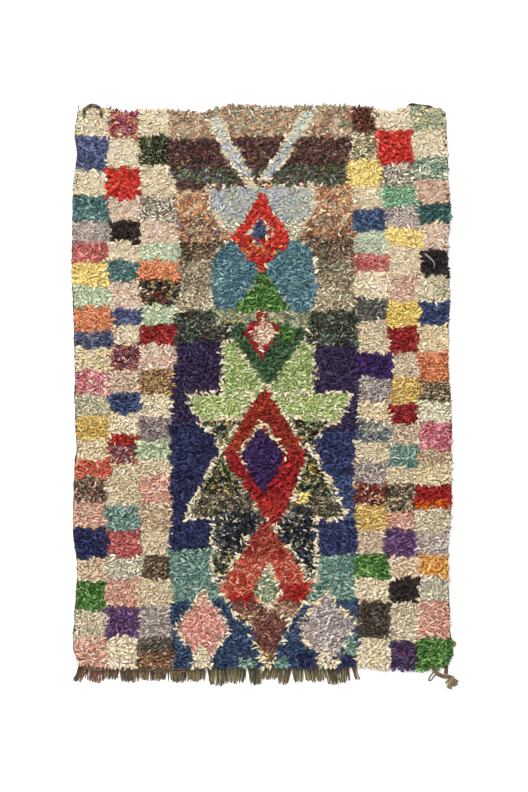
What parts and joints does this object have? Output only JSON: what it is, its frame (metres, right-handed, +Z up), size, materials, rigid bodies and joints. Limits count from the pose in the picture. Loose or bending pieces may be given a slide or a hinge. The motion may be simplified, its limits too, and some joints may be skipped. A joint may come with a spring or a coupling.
{
  "type": "boucherouite rug",
  "caption": "Flat rectangular shag rug of torn cloth tufts on a wool ground weave, with overcast sides, a warp fringe at one end and a knotted corner tassel.",
  "frame": {"origin": "on the floor under the middle of the whole rug, fringe and corner tassel included", "axes": "+Z up out of the pile, +Y along the warp towards the end without a fringe, +X across the rug to the right, seen from above"},
  "size_m": [1.3614, 2.0566, 0.024],
  "materials": {
    "rag_pile": "soft matt torn cotton and jersey rag, in many colours",
    "ground_wool": "coarse matt brown-grey handspun wool",
    "warp_wool": "coarse matt olive-brown handspun wool",
    "dark_wool": "coarse matt dark brown handspun wool"
  },
  "bodies": {
    "root": {"pile_slab": "rag_pile", "selvedge_left": "ground_wool", "selvedge_right": "ground_wool", "warp_fringe": "warp_wool", "corner_tassel": "warp_wool", "corner_loop": "dark_wool", "corner_warp_end": "dark_wool"}
  },
  "joints": []
}
